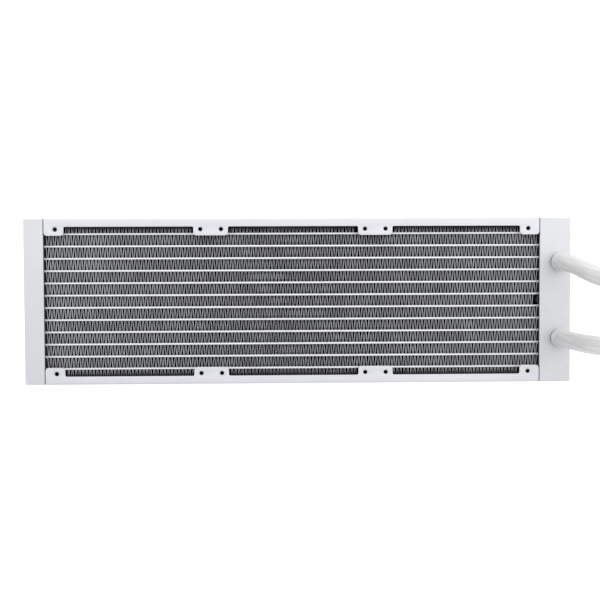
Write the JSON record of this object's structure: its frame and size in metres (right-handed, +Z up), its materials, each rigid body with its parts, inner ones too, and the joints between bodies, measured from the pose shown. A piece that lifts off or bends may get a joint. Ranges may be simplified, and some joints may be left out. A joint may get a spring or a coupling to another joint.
{
  "type": "liquid cooling radiator",
  "caption": "Slim finned heat exchanger for liquid cooling, with end tanks, fan screw tabs, and two flexible hoses that end in swivel fittings.",
  "frame": {"origin": "middle of the radiator's back face, on the surface that it lies on", "axes": "+X along the radiator towards the tank with the hose ports, +Y across it, +Z up out of the face with the ports"},
  "size_m": [0.6328, 0.121, 0.1466],
  "materials": {
    "white_paint": "satin",
    "painted_core": "satin",
    "fin_foil": "satin",
    "aluminium": "satin",
    "white_hose_sleeve": "satin",
    "white_ferrule": "satin",
    "black_rubber": "matte"
  },
  "bodies": {
    "radiator": {"core_support_far": "painted_core", "core_support_near": "painted_core", "end_ferrule_far": "white_ferrule", "end_ferrule_near": "white_ferrule", "fill_plug": "aluminium", "fill_plug_seal": "black_rubber", "fill_port_boss": "aluminium", "fin_row_01": "fin_foil", "fin_row_02": "fin_foil", "fin_row_03": "fin_foil", "fin_row_04": "fin_foil", "fin_row_05": "fin_foil", "fin_row_06": "fin_foil", "fin_row_07": "fin_foil", "fin_row_08": "fin_foil", "fin_row_09": "fin_foil", "fin_row_10": "fin_foil", "fin_row_11": "fin_foil", "fin_row_12": "fin_foil", "fin_row_13": "fin_foil", "flat_tube_01": "painted_core", "flat_tube_02": "painted_core", "flat_tube_03": "painted_core", "flat_tube_04": "painted_core", "flat_tube_05": "painted_core", "flat_tube_06": "painted_core", "flat_tube_07": "painted_core", "flat_tube_08": "painted_core", "flat_tube_09": "painted_core", "flat_tube_10": "painted_core", "flat_tube_11": "painted_core", "flat_tube_12": "painted_core", "hose_far": "white_hose_sleeve", "hose_near": "white_hose_sleeve", "port_baffle": "aluminium", "port_ferrule_far": "white_ferrule", "port_ferrule_near": "white_ferrule", "port_header_plate": "white_paint", "port_nipple_far": "white_paint", "port_nipple_near": "white_paint", "port_tank": "white_paint", "return_header_plate": "white_paint", "return_tank": "white_paint", "side_channel_far": "white_paint", "side_channel_near": "white_paint", "swivel_elbow_far": "white_ferrule", "swivel_elbow_near": "white_ferrule"},
    "near_swivel": {"swivel_base_near": "white_ferrule", "swivel_seal_near": "black_rubber"},
    "far_swivel": {"swivel_base_far": "white_ferrule", "swivel_seal_far": "black_rubber"}
  },
  "joints": [
    {"name": "near_swivel_turn", "type": "hinge", "parent": "radiator", "child": "near_swivel", "pos_m": [0.4247, -0.034, 0], "axis": [0, 0, 1], "continuous": true},
    {"name": "far_swivel_turn", "type": "hinge", "parent": "radiator", "child": "far_swivel", "pos_m": [0.4247, -0.0076, 0], "axis": [0, 0, 1], "continuous": true}
  ]
}
